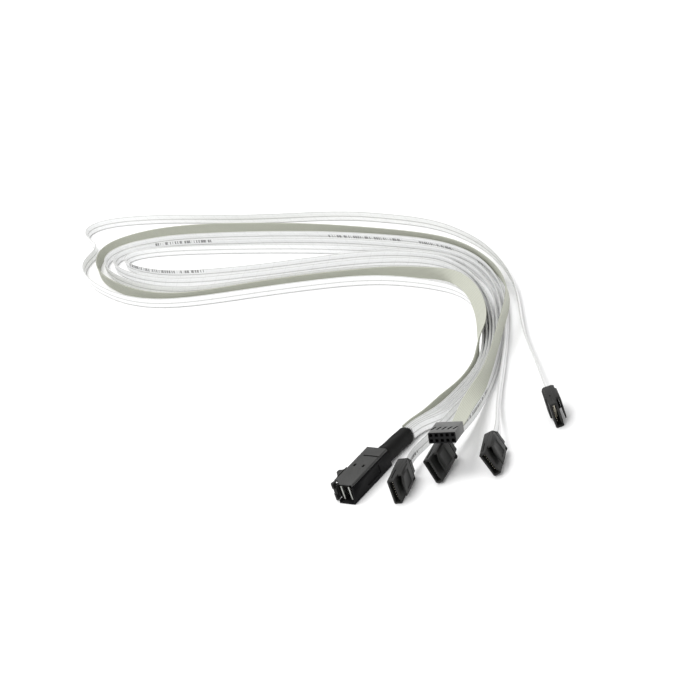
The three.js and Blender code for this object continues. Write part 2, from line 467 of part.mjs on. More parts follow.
// ------------------------------------------------------ seven-position plugs
PLUGS.forEach((plug, n) => {
  const rotation = new THREE.Matrix4().makeRotationFromEuler(new THREE.Euler(
    -THREE.MathUtils.degToRad(plug.roll), 0, THREE.MathUtils.degToRad(plug.yaw), 'ZYX'));
  const place = new THREE.Matrix4().makeTranslation(...plug.at).multiply(rotation);
  const t = SHELL_THICK / 2;
  const w = SHELL_WIDE / 2;
  // shell with a lead-in, open wing on the right side and low pad on the left
  const shell = bar(rect(-t, t, -w, w, 0.45), 0, SHELL_LONG);
  const wingIn = -t - WING_OUT;
  const wingOut = wingIn - WING_THICK;
  const c = 0.5;
  const wing = bar([
    [wingOut + c, WING_LOW], [wingIn, WING_LOW], [wingIn, w - BRIDGE], [-t + 0.4, w - BRIDGE],
    [-t + 0.4, w], [wingOut + c, w], [wingOut, w - c], [wingOut, WING_LOW + c],
  ], WING_START, WING_END);
  const nose = slab([[WING_START - 1, w - 3.4], [WING_START, w - 3.4], [WING_START + 2.2, w], [WING_START + 2.2, w + 1],
    [WING_START - 1, w + 1]], wingOut - 1, -t - 0.01);                            // raked front corner of the wing
  const root = bar(rect(-t - 1.5, -t + 0.5, WING_LOW + 0.6, w, 0.3), WING_END - 1.2, SHELL_LONG);
  const pad = bar(rect(t - 0.4, t + 0.8, -w + 0.9, w - 0.9, 0.4), 8.2, SHELL_LONG);
  const slot = box(-1, SLOT_DEEP, -SLOT_THICK / 2, SLOT_THICK / 2 + 0.2, -SLOT_LONG / 2, SLOT_LONG / 2);
  const leg = box(-1, SLOT_DEEP, -SLOT_THICK / 2 - KEY_LEG, SLOT_THICK / 2, -SLOT_LONG / 2, -SLOT_LONG / 2 + 1.3);
  // the contact carrier slides in from behind
  const bay = box(SLOT_DEEP - 0.01, SHELL_LONG + 1, -0.95, 0.95, -4.75, 4.75);
  const groove = box(1.7, 8.4, -0.3, 0.3, w - 0.4, w + 1);
  const recess = box(5.6, 11.6, wingOut - 1, wingOut + 0.25, -2.6, 4.2);
  put(`sata${n + 1}_housing`, cut(join(shell, cut(wing, nose), root, pad), slot, leg, bay, groove, recess), BLACK, place);

  // contact block: seven fingers on one carrier, their tips bent towards the slot
  const fingers = [];
  for (let i = 0; i < 7; i += 1) {
    const z = (i - 3) * CONTACT_PITCH;
    fingers.push(prism([
      [2.0, 0.42], [2.4, 0.22], [3.0, 0.22], [3.6, 0.42], [SLOT_DEEP + 0.6, 0.42],
      [SLOT_DEEP + 0.6, 0.62], [2.0, 0.62],
    ], z - 0.24, z + 0.24));
  }
  const carrier = box(SLOT_DEEP + 0.4, SHELL_LONG - GAP, -0.65, 0.65, -4.45, 4.45);
  put(`sata${n + 1}_contacts`, join(carrier, ...fingers), GOLD, place);

  // moulded grip behind the shell, and a slimmer rounded flange round the ribbon
  const gripFront = bar(rect(-t - 1.5, t + 0.5, -w + 0.2, w - 0.2, 0.9), SHELL_LONG + GAP, GRIP_REAR);
  const gripRear = bar(rect(-t - 1.1, t - 0.3, -w + 2.0, w - 2.0, 1.3), GRIP_REAR - 0.2, PLUG_LONG);
  put(`sata${n + 1}_grip`, join(gripFront, gripRear), BLACK_SOFT, place);
});

// -------------------------------------------------------------- header plug
{
  const back = new THREE.Vector3(...HEADER_BACKWARD).normalize();
  const right = back.clone().cross(new THREE.Vector3(...HEADER_UP)).normalize();
  const up = right.clone().cross(back);
  // local x backward, y to the left, z up
  const place = new THREE.Matrix4().makeBasis(back, right.clone().negate(), up).setPosition(...HEADER_FRONT);
  const block = bar(rect(-HEADER_WIDE / 2, HEADER_WIDE / 2, -HEADER_HIGH / 2, HEADER_HIGH / 2, 0.25), 0, HEADER_LONG);
  const tools = [];
  for (let c = 0; c < 5; c += 1) {
    for (let r = 0; r < 2; r += 1) {
      const y = (c - 2) * HEADER_PITCH;
      const z = (r - 0.5) * HEADER_PITCH;
      tools.push(box(-1, HEADER_LONG + 1, y - CAVITY / 2, y + CAVITY / 2, z - CAVITY / 2, z + CAVITY / 2));
      put(`header_terminal_${String(2 * c + r + 1).padStart(2, '0')}`, cut(
        box(2.4, HEADER_LONG - 1.0, y - 0.45, y + 0.45, z - 0.45, z + 0.45),
        box(1.4, 8.4, y - 0.3, y + 0.3, z - 0.3, z + 0.3)), GOLD, place);
    }
    const y = (c - 2) * HEADER_PITCH;
    tools.push(prism([[3.9, y + 0.25], [3.9, y + 1.15], [7.4, y - 0.15], [7.4, y - 1.05]], HEADER_PITCH / 2 + 0.5, HEADER_HIGH)); // window
  }
  put('header_housing', cut(block, ...tools), DARK_GREY, place);
}

export default group;
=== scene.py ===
import bpy, bmesh, math
import numpy as np
from mathutils import Vector, Matrix


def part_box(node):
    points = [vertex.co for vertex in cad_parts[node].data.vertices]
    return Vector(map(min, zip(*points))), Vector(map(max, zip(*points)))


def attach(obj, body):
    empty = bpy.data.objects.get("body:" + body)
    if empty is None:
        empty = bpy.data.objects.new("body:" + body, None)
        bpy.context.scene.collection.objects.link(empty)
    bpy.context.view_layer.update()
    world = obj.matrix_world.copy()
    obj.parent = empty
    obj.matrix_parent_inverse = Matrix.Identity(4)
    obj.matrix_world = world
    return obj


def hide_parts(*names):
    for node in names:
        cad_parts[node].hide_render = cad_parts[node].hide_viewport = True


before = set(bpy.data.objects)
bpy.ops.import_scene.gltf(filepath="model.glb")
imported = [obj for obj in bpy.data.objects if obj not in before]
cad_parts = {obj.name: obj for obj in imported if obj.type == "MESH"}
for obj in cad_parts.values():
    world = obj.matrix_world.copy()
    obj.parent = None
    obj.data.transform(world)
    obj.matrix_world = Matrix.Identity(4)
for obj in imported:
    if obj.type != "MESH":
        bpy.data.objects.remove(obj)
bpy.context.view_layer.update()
scene = bpy.context.scene
OX, OY = -0.00169, -0.001555      # plug frame to row frame
HEADER_FRONT = (6.34, -40.95, 19.44)               # millimetres in the plug frame
HEADER_BACKWARD = (0.9035, 0.3587, -0.2344)
HEADER_UP = (0.254, -0.0078, 0.9672)


# ------------------------------------------------------------------ camera
cam_data = bpy.data.cameras.new("camera")
cam_data.lens = 135.0
cam_data.sensor_width = 36.0
cam_data.clip_start = 0.05
cam_data.clip_end = 20.0
cam = bpy.data.objects.new("camera", cam_data)
scene.collection.objects.link(cam)
right = Vector((0.5496, -0.7802, -0.2986)).normalized()
upv = Vector((0.5394, 0.0584, 0.8400))
upv = (upv - right * upv.dot(right)).normalized()
fwd = upv.cross(right).normalized()
pos = Vector((-0.72539 + OX, -0.71696 + OY, 0.58653))
m = Matrix.Identity(4)
for i in range(3):
    m[i][0], m[i][1], m[i][2], m[i][3] = right[i], upv[i], -fwd[i], pos[i]
cam.matrix_world = m
scene.camera = cam


# ------------------------------------------------------------ cord routes
# ring centres in metres in the row frame, and the lean of the ribbon in degrees
ROUTES = {
    "RIBBON_1": [
        (0.02560, -0.00675, 0.00413, 0), (0.03145, -0.00789, 0.00377, 0), (0.04155, -0.01431, 0.00320, 0),
        (0.04829, -0.01614, 0.00301, 0), (0.06125, -0.01691, 0.00295, 0), (0.07216, -0.01557, 0.00295, 0),
        (0.08652, -0.01128, 0.00295, 0), (0.10100, -0.00449, 0.00295, 0), (0.12073, 0.00733, 0.00295, 0),
        (0.13499, 0.01830, 0.00295, 0), (0.14946, 0.03209, 0.00295, 0), (0.15969, 0.04440, 0.00295, 0),
        (0.16827, 0.05790, 0.00295, 0), (0.17414, 0.07058, 0.00295, 0), (0.17708, 0.08117, 0.00295, 0),
        (0.17838, 0.09510, 0.00295, 0), (0.17780, 0.11210, 0.00295, 0), (0.17502, 0.12987, 0.00295, 0),
        (0.16762, 0.15687, 0.00295, 0), (0.15880, 0.18555, 0.00295, 0), (0.15157, 0.21467, 0.00295, 0),
        (0.14827, 0.23439, 0.00295, 0), (0.14763, 0.24938, 0.00295, 0), (0.14895, 0.26331, 0.00295, 0),
        (0.15214, 0.27590, 0.00295, 0), (0.15561, 0.28307, 0.00295, 0), (0.15848, 0.28581, 0.00295, 0),
        (0.16138, 0.28626, 0.00295, 0), (0.16390, 0.28471, 0.00295, 0), (0.16700, 0.27962, 0.00295, 0),
        (0.17034, 0.26811, 0.00295, 0), (0.17438, 0.24141, 0.00295, 0), (0.17743, 0.21155, 0.00295, 0),
        (0.17976, 0.18164, 0.00295, 0), (0.18116, 0.15166, 0.00295, 0), (0.18116, 0.12166, 0.00295, 0),
        (0.18001, 0.09167, 0.00295, 0), (0.17814, 0.07579, 0.00295, 0), (0.17476, 0.06429, 0.00295, 0),
        (0.16865, 0.05171, 0.00295, 0), (0.16024, 0.03930, 0.00295, 0), (0.14959, 0.02737, 0.00295, 0),
        (0.13667, 0.01632, 0.00295, 0), (0.11768, 0.00335, 0.00295, 0), (0.09766, -0.00797, 0.00295, 0),
        (0.08479, -0.01346, 0.00295, 0), (0.07410, -0.01597, 0.00295, 0), (0.04817, -0.01769, 0.00374, 0),
        (0.01837, -0.02025, 0.00600, 0), (0.00538, -0.02048, 0.00634, 0), (-0.00136, -0.02236, 0.00635, 0),
    ],
    "RIBBON_2": [
        (0.02567, -0.00539, 0.00413, 0), (0.03157, -0.00634, 0.00377, 0), (0.04212, -0.01200, 0.00320, 0),
        (0.04992, -0.01371, 0.00300, 0), (0.06391, -0.01422, 0.00295, 0), (0.07579, -0.01254, 0.00295, 0),
        (0.08819, -0.00864, 0.00295, 0), (0.10351, -0.00127, 0.00295, 0), (0.12050, 0.00929, 0.00295, 0),
        (0.13462, 0.02047, 0.00295, 0), (0.14890, 0.03449, 0.00295, 0), (0.15819, 0.04627, 0.00295, 0),
        (0.16512, 0.05842, 0.00295, 0), (0.16972, 0.07057, 0.00295, 0), (0.17185, 0.08238, 0.00295, 0),
        (0.17206, 0.09838, 0.00295, 0), (0.16996, 0.11626, 0.00295, 0), (0.16499, 0.13770, 0.00295, 0),
        (0.15622, 0.16642, 0.00295, 0), (0.14784, 0.19525, 0.00295, 0), (0.14216, 0.21961, 0.00295, 0),
        (0.14032, 0.23551, 0.00295, 0), (0.14059, 0.25051, 0.00295, 0), (0.14290, 0.26533, 0.00295, 0),
        (0.14693, 0.27875, 0.00295, 0), (0.15150, 0.28763, 0.00295, 0), (0.15549, 0.29208, 0.00295, 0),
        (0.15901, 0.29392, 0.00295, 0), (0.16199, 0.29401, 0.00295, 0), (0.16554, 0.29224, 0.00295, 0),
        (0.16928, 0.28758, 0.00295, 0), (0.17323, 0.27840, 0.00295, 0), (0.17752, 0.26195, 0.00295, 0),
        (0.18149, 0.23320, 0.00295, 0), (0.18465, 0.20335, 0.00295, 0), (0.18702, 0.17341, 0.00295, 0),
        (0.18783, 0.14341, 0.00295, 0), (0.18683, 0.11339, 0.00295, 0), (0.18462, 0.08848, 0.00295, 0),
        (0.18132, 0.07282, 0.00295, 0), (0.17649, 0.05969, 0.00295, 0), (0.16978, 0.04740, 0.00295, 0),
        (0.16082, 0.03535, 0.00295, 0), (0.14970, 0.02386, 0.00295, 0), (0.13569, 0.01255, 0.00295, 0),
        (0.11554, -0.00051, 0.00295, 0), (0.09347, -0.01229, 0.00295, 0), (0.07406, -0.02034, 0.00295, 0),
        (0.05497, -0.02632, 0.00356, 0), (0.03759, -0.03062, 0.00547, 1.5), (0.02283, -0.03290, 0.00691, 10.1),
        (0.01598, -0.03438, 0.00697, 14.4),
    ],
    "RIBBON_3": [
        (0.02574, -0.00404, 0.00413, 0), (0.03167, -0.00475, 0.00377, 0), (0.04260, -0.00965, 0.00320, 0),
        (0.05146, -0.01111, 0.00298, 0), (0.06745, -0.01142, 0.00295, 0), (0.07930, -0.00958, 0.00295, 0),
        (0.09161, -0.00545, 0.00295, 0), (0.10583, 0.00188, 0.00295, 0), (0.12164, 0.01243, 0.00295, 0),
        (0.13537, 0.02405, 0.00295, 0), (0.14769, 0.03716, 0.00295, 0), (0.15577, 0.04859, 0.00295, 0),
        (0.16095, 0.05940, 0.00295, 0), (0.16389, 0.06999, 0.00295, 0), (0.16510, 0.08292, 0.00295, 0),
        (0.16438, 0.10090, 0.00295, 0), (0.16147, 0.11968, 0.00295, 0), (0.15394, 0.14872, 0.00295, 0),
        (0.14477, 0.17729, 0.00295, 0), (0.13562, 0.20586, 0.00295, 0), (0.13254, 0.22054, 0.00295, 0),
        (0.13171, 0.23451, 0.00295, 0), (0.13286, 0.24946, 0.00295, 0), (0.13602, 0.26411, 0.00295, 0),
        (0.14140, 0.27919, 0.00295, 0), (0.14697, 0.28980, 0.00295, 0), (0.15198, 0.29601, 0.00295, 0),
        (0.15676, 0.29962, 0.00295, 0), (0.16149, 0.30113, 0.00295, 0), (0.16544, 0.30071, 0.00295, 0),
        (0.16972, 0.29819, 0.00295, 0), (0.17421, 0.29284, 0.00295, 0), (0.17913, 0.28302, 0.00295, 0),
        (0.18361, 0.26871, 0.00295, 0), (0.18726, 0.24804, 0.00295, 0), (0.19071, 0.21823, 0.00295, 0),
        (0.19315, 0.18832, 0.00295, 0), (0.19429, 0.15833, 0.00295, 0), (0.19382, 0.12832, 0.00295, 0),
        (0.19185, 0.10039, 0.00295, 0), (0.18872, 0.08267, 0.00295, 0), (0.18391, 0.06741, 0.00295, 0),
        (0.17750, 0.05387, 0.00295, 0), (0.16869, 0.04052, 0.00295, 0), (0.15756, 0.02768, 0.00295, 0),
        (0.14493, 0.01630, 0.00295, 0), (0.12782, 0.00414, 0.00295, 0), (0.10197, -0.01109, 0.00295, 0),
        (0.07548, -0.02522, 0.00296, 0), (0.05277, -0.03784, 0.00387, 0), (0.04114, -0.04546, 0.00550, 3.4),
        (0.03205, -0.05151, 0.00682, 12.3), (0.02492, -0.05510, 0.00704, 16.3), (0.02401, -0.05555, 0.00705, 17.6),
    ],
    "RIBBON_4": [
        (0.02581, -0.00268, 0.00413, 0), (0.03177, -0.00317, 0.00378, 0), (0.04413, -0.00714, 0.00316, 0),
        (0.06405, -0.00889, 0.00295, 0), (0.07603, -0.00834, 0.00295, 0), (0.08575, -0.00600, 0.00295, 0),
        (0.09761, -0.00069, 0.00295, 0), (0.11377, 0.00930, 0.00295, 0), (0.12714, 0.01982, 0.00295, 0),
        (0.13689, 0.02985, 0.00295, 0), (0.14380, 0.03966, 0.00295, 0), (0.14833, 0.04967, 0.00295, 0),
        (0.15144, 0.06230, 0.00295, 0), (0.15358, 0.08117, 0.00295, 0), (0.15372, 0.09917, 0.00295, 0),
        (0.15178, 0.11507, 0.00295, 0), (0.14597, 0.13835, 0.00295, 0), (0.13677, 0.16694, 0.00295, 0),
        (0.12684, 0.19526, 0.00295, 0), (0.12114, 0.21548, 0.00295, 0), (0.11911, 0.22933, 0.00295, 0),
        (0.11916, 0.24333, 0.00295, 0), (0.12142, 0.25815, 0.00295, 0), (0.12602, 0.27349, 0.00295, 0),
        (0.13316, 0.29001, 0.00295, 0), (0.13986, 0.30114, 0.00295, 0), (0.14645, 0.30865, 0.00295, 0),
        (0.15228, 0.31247, 0.00295, 0), (0.15904, 0.31426, 0.00295, 0), (0.16587, 0.31571, 0.00295, 0),
        (0.16996, 0.31853, 0.00295, 0), (0.17454, 0.32506, 0.00295, 0), (0.18019, 0.33450, 0.00295, 0),
        (0.18451, 0.33863, 0.00295, 0), (0.18826, 0.33992, 0.00295, 0), (0.19120, 0.33944, 0.00295, 0),
        (0.19442, 0.33711, 0.00295, 0), (0.19759, 0.33205, 0.00295, 0), (0.20091, 0.32157, 0.00295, 0),
        (0.20431, 0.30084, 0.00295, 0), (0.20659, 0.27092, 0.00295, 0), (0.20813, 0.24092, 0.00295, 0),
        (0.21103, 0.21104, 0.00295, 0), (0.21468, 0.18125, 0.00295, 0), (0.21581, 0.16028, 0.00295, 0),
        (0.21458, 0.13529, 0.00295, 0), (0.21156, 0.11046, 0.00295, 0), (0.20768, 0.09494, 0.00295, 0),
        (0.20078, 0.07723, 0.00295, 0), (0.19206, 0.06034, 0.00295, 0), (0.18202, 0.04541, 0.00295, 0),
        (0.16847, 0.02934, 0.00295, 0), (0.15409, 0.01545, 0.00295, 0), (0.13506, 0.00080, 0.00299, 0),
        (0.11192, -0.01669, 0.00357, 0), (0.08945, -0.03655, 0.00495, 0), (0.06688, -0.05630, 0.00632, 0),
        (0.06169, -0.06100, 0.00635, 0),
    ],
    "SIDEBAND": [
        (0.02587, -0.00153, 0.00414, 0), (0.03183, -0.00188, 0.00387, 0), (0.03960, -0.00364, 0.00357, 0),
        (0.05249, -0.00521, 0.00355, 0), (0.06426, -0.00723, 0.00355, 0), (0.07516, -0.00696, 0.00357, 0),
        (0.08380, -0.00496, 0.00379, 0.9), (0.09285, -0.00129, 0.00506, 5.7), (0.09990, 0.00185, 0.00691, 22.5),
        (0.10805, 0.00532, 0.00860, 50), (0.11499, 0.00927, 0.00918, 60.6), (0.12688, 0.01839, 0.00885, 70),
        (0.13774, 0.02872, 0.00871, 70), (0.14336, 0.03572, 0.00910, 65.2), (0.14854, 0.04426, 0.00924, 40.9),
        (0.15335, 0.05409, 0.00818, 18.6), (0.15799, 0.06602, 0.00597, 4.1), (0.16036, 0.07562, 0.00454, 0),
        (0.16131, 0.08654, 0.00377, 0), (0.16038, 0.09949, 0.00356, 0), (0.15630, 0.11907, 0.00355, 0),
        (0.14831, 0.14798, 0.00355, 0), (0.14032, 0.17166, 0.00355, 0), (0.12950, 0.19964, 0.00355, 0),
        (0.12526, 0.21402, 0.00355, 0), (0.12363, 0.22690, 0.00355, 0), (0.12420, 0.24088, 0.00355, 0),
        (0.12725, 0.25657, 0.00355, 0), (0.13286, 0.27367, 0.00355, 0), (0.13888, 0.28628, 0.00355, 0),
        (0.14518, 0.29530, 0.00355, 0), (0.15235, 0.30224, 0.00355, 0), (0.15917, 0.30638, 0.00355, 0),
        (0.16495, 0.30786, 0.00355, 0), (0.16989, 0.30727, 0.00355, 0), (0.17428, 0.30494, 0.00355, 0),
        (0.17982, 0.29919, 0.00355, 0), (0.18550, 0.28980, 0.00355, 0), (0.19009, 0.27765, 0.00355, 0),
        (0.19402, 0.26009, 0.00355, 0), (0.19712, 0.23428, 0.00355, 0), (0.19913, 0.20435, 0.00355, 0),
        (0.19981, 0.17436, 0.00355, 0), (0.19877, 0.14438, 0.00355, 0), (0.19672, 0.11446, 0.00355, 0),
        (0.19373, 0.09166, 0.00355, 0), (0.18985, 0.07615, 0.00355, 0), (0.18430, 0.06223, 0.00361, 0),
        (0.17687, 0.04923, 0.00412, 0), (0.16677, 0.03565, 0.00573, 0), (0.15261, 0.02043, 0.00862, 0),
        (0.14000, 0.00924, 0.01066, 0), (0.13006, 0.00257, 0.01126, 0), (0.11554, -0.00413, 0.01116, 0),
        (0.08781, -0.01557, 0.01054, 0), (0.06911, -0.02263, 0.01020, 10), (0.05954, -0.02554, 0.01033, 28.9),
        (0.04695, -0.02865, 0.01110, 59.9), (0.03479, -0.03300, 0.01257, 78.6), (0.02389, -0.03762, 0.01449, 84),
        (0.01846, -0.03981, 0.01584, 84),
    ],
}
RIBBON_HIGH, RIBBON_THICK = 0.0058, 0.0010
SIDE_HIGH, SIDE_THICK = 0.0070, 0.0006


def natural_spline(t, y, q):
    """Natural cubic spline through (t, y), evaluated at q; y has columns."""
    n = len(t)
    h = np.diff(t)
    a = np.zeros((n, n))
    r = np.zeros((n, y.shape[1]))
    a[0, 0] = a[-1, -1] = 1.0
    for i in range(1, n - 1):
        a[i, i - 1], a[i, i], a[i, i + 1] = h[i - 1], 2 * (h[i - 1] + h[i]), h[i]
        r[i] = 6 * ((y[i + 1] - y[i]) / h[i] - (y[i] - y[i - 1]) / h[i - 1])
    k = np.linalg.solve(a, r)
    i = np.clip(np.searchsorted(t, q) - 1, 0, n - 2)
    d = (q - t[i])[:, None]
    hh = h[i][:, None]
    return (y[i] + d * ((y[i + 1] - y[i]) / hh - hh * (2 * k[i] + k[i + 1]) / 6)
            + d * d * k[i] / 2 + d ** 3 * (k[i + 1] - k[i]) / (6 * hh))


def smooth_route(name, step):
    rows = np.array(ROUTES[name], float)
    t = np.r_[0, np.cumsum(np.linalg.norm(np.diff(rows[:, :3], axis=0), axis=1))]
    fine = np.linspace(0, t[-1], 6000)
    p = natural_spline(t, rows[:, :3], fine)
    lean = np.interp(fine, t, rows[:, 3])
    k = np.ones(61) / 61
    pad = np.r_[np.full(30, lean[0]), lean, np.full(30, lean[-1])]
    lean = np.convolve(pad, k, mode="valid")
    s = np.r_[0, np.cumsum(np.linalg.norm(np.diff(p, axis=0), axis=1))]
    n = max(8, int(round(s[-1] / step)))
    q = np.linspace(0, s[-1], n + 1)
    pts = np.stack([np.interp(q, s, p[:, c]) for c in range(3)], 1)
    lean = np.interp(q, s, lean)
    tan = np.gradient(pts, axis=0)
    tan /= np.linalg.norm(tan, axis=1)[:, None]
    side = np.cross(tan, [0, 0, 1.0])
    side /= np.linalg.norm(side, axis=1)[:, None]
    up = np.cross(side, tan)
    lr = np.radians(lean)[:, None]
    across = up * np.cos(lr) + side * np.sin(lr)
    through = np.cross(tan, across)
    return pts, q, tan, across, through, lean


def link(ob):
    scene.collection.objects.link(ob)
    return ob


def sweep(name, pts, q, across, through, profile, vpos):
    """A closed tube: profile is a list of (across, through) offsets in metres; vpos is each
    profile point's place over the width, 0 to 1, which with the arc length makes the UV map."""
    nr, npf = len(pts), len(profile)
    prof = np.array(profile)
    verts = (pts[:, None, :] + across[:, None, :] * prof[None, :, 0:1]
             + through[:, None, :] * prof[None, :, 1:2]).reshape(-1, 3)
    faces = []
    for i in range(nr - 1):
        for j in range(npf):
            k = (j + 1) % npf
            faces.append((i * npf + j, i * npf + k, (i + 1) * npf + k, (i + 1) * npf + j))
    faces.append(tuple(range(npf - 1, -1, -1)))
    faces.append(tuple((nr - 1) * npf + j for j in range(npf)))
    me = bpy.data.meshes.new(name)
    me.from_pydata(verts.tolist(), [], faces)
    uv = me.uv_layers.new(name="UVMap")
    vi = np.zeros(len(me.loops), dtype=np.int32)
    me.loops.foreach_get("vertex_index", vi)
    u = q[vi // npf] * 10.0
    v = np.array(vpos)[vi % npf]
    uv.data.foreach_set("uv", np.stack([u, v], 1).astype(np.float32).ravel())
    me.polygons.foreach_set("use_smooth", [True] * (len(me.polygons) - 2) + [False, False])
    bm = bmesh.new()
    bm.from_mesh(me)
    bmesh.ops.recalc_face_normals(bm, faces=bm.faces)
    bm.to_mesh(me)
    bm.free()
    me.update()
    return link(bpy.data.objects.new(name, me))


def lobed(width, thick, lobes, web, edge, per):
    """Section of a flat cable: lobes side by side, each a rounded bump over a thinner web."""
    w = width / 2
    inner = width - 2 * edge
    pitch = inner / lobes
    xs = [-w, -w + 0.12 * edge]
    hs = [0.0, web * 0.5]
    for i in range(lobes):
        x0 = -inner / 2 + i * pitch
        for k in range(per + 1):
            if k == 0 and i > 0:
                continue
            f = k / per
            xs.append(x0 + f * pitch)
            e = abs(2 * f - 1)
            hs.append(web + (thick / 2 - web) * (1 - e ** 2.6) ** 0.6)
    xs += [w - 0.12 * edge, w]
    hs += [web * 0.5, 0.0]
    top = [(x, h) for x, h in zip(xs, hs)]
    bottom = [(x, -h) for x, h in zip(xs[1:-1], hs[1:-1])][::-1]
    prof = top + bottom
    return prof, [(x + w) / width for x, _ in prof]


# ----------------------------------------------------------- shader helpers
def new_material(name):
    mat = bpy.data.materials.new(name)
    mat.use_nodes = True
    nt = mat.node_tree
    nt.nodes.clear()
    out = nt.nodes.new("ShaderNodeOutputMaterial")
    bsdf = nt.nodes.new("ShaderNodeBsdfPrincipled")
    nt.links.new(bsdf.outputs[0], out.inputs[0])
    return mat, nt, bsdf


def math_node(nt, op, a, b=None, c=None, clamp=False):
    n = nt.nodes.new("ShaderNodeMath")
    n.operation = op
    n.use_clamp = clamp
    for i, x in enumerate((a, b, c)):
        if x is None:
            continue
        if isinstance(x, (int, float)):
            n.inputs[i].default_value = x
        else:
            nt.links.new(x, n.inputs[i])
    return n.outputs[0]


def ramp(nt, fac, stops):
    n = nt.nodes.new("ShaderNodeValToRGB")
    cr = n.color_ramp
    while len(cr.elements) > 1:
        cr.elements.remove(cr.elements[-1])
    cr.elements[0].position = stops[0][0]
    cr.elements[0].color = (*stops[0][1], 1)
    for p, c in stops[1:]:
        e = cr.elements.new(p)
        e.color = (*c, 1)
    nt.links.new(fac, n.inputs[0])
    return n.outputs[0]


def mix(nt, fac, a, b, blend="MIX"):
    n = nt.nodes.new("ShaderNodeMix")
    n.data_type = "RGBA"
    n.blend_type = blend
    n.clamp_factor = True
    for s, x in ((n.inputs[0], fac), (n.inputs[6], a), (n.inputs[7], b)):
        if isinstance(x, (int, float)):
            s.default_value = x
        elif isinstance(x, tuple):
            s.default_value = (*x, 1)
        else:
            nt.links.new(x, s)
    return n.outputs[2]


def noise(nt, scale, detail=3.0, rough=0.55, vector=None, output=0):
    n = nt.nodes.new("ShaderNodeTexNoise")
    n.inputs["Scale"].default_value = scale
    n.inputs["Detail"].default_value = detail
    n.inputs["Roughness"].default_value = rough
    if vector is None:
        tc = nt.nodes.new("ShaderNodeTexCoord")
        vector = tc.outputs["Object"]
    nt.links.new(vector, n.inputs["Vector"])
    return n.outputs[output]


def bump(nt, bsdf, height, strength, distance):
    b = nt.nodes.new("ShaderNodeBump")
    b.inputs["Strength"].default_value = strength
    b.inputs["Distance"].default_value = distance
    nt.links.new(height, b.inputs["Height"])
    nt.links.new(b.outputs[0], bsdf.inputs["Normal"])


def moulded(name, dark, light, rough, spec, grain=1800.0, rough_var=0.12, bumpy=0.12):
    """Moulded plastic: fine grain, faint colour variation and roughness that wanders."""
    mat, nt, bsdf = new_material(name)
    n1 = noise(nt, grain, 4.0, 0.6)
    n2 = noise(nt, 140.0, 3.0, 0.5)
    f = math_node(nt, "ADD", math_node(nt, "MULTIPLY", n1, 0.5), math_node(nt, "MULTIPLY", n2, 0.5))
    col = ramp(nt, f, [(0.3, dark), (0.7, light)])
    nt.links.new(col, bsdf.inputs["Base Color"])
    r = math_node(nt, "MULTIPLY_ADD", n2, rough_var, rough - rough_var / 2)
    nt.links.new(r, bsdf.inputs["Roughness"])
    bsdf.inputs["Specular IOR Level"].default_value = spec
    bump(nt, bsdf, n1, bumpy, 0.00004)
    return mat


def uv_parts(nt):
    uv = nt.nodes.new("ShaderNodeUVMap")
    uv.uv_map = "UVMap"
    sep = nt.nodes.new("ShaderNodeSeparateXYZ")
    nt.links.new(uv.outputs[0], sep.inputs[0])
    return sep.outputs[0], sep.outputs[1]      # arc length in decimetres, place over the width


def band(nt, x, lo, hi, soft):
    """1 between lo and hi, with soft shoulders."""
    a = nt.nodes.new("ShaderNodeMapRange")
    a.interpolation_type = "SMOOTHSTEP"
    a.inputs[1].default_value, a.inputs[2].default_value = lo - soft, lo + soft
    nt.links.new(x, a.inputs[0])
    b = nt.nodes.new("ShaderNodeMapRange")
    b.interpolation_type = "SMOOTHSTEP"
    b.inputs[1].default_value, b.inputs[2].default_value = hi - soft, hi + soft
    b.inputs[3].default_value, b.inputs[4].default_value = 1.0, 0.0
    nt.links.new(x, b.inputs[0])
    return math_node(nt, "MULTIPLY", a.outputs[0], b.outputs[0])


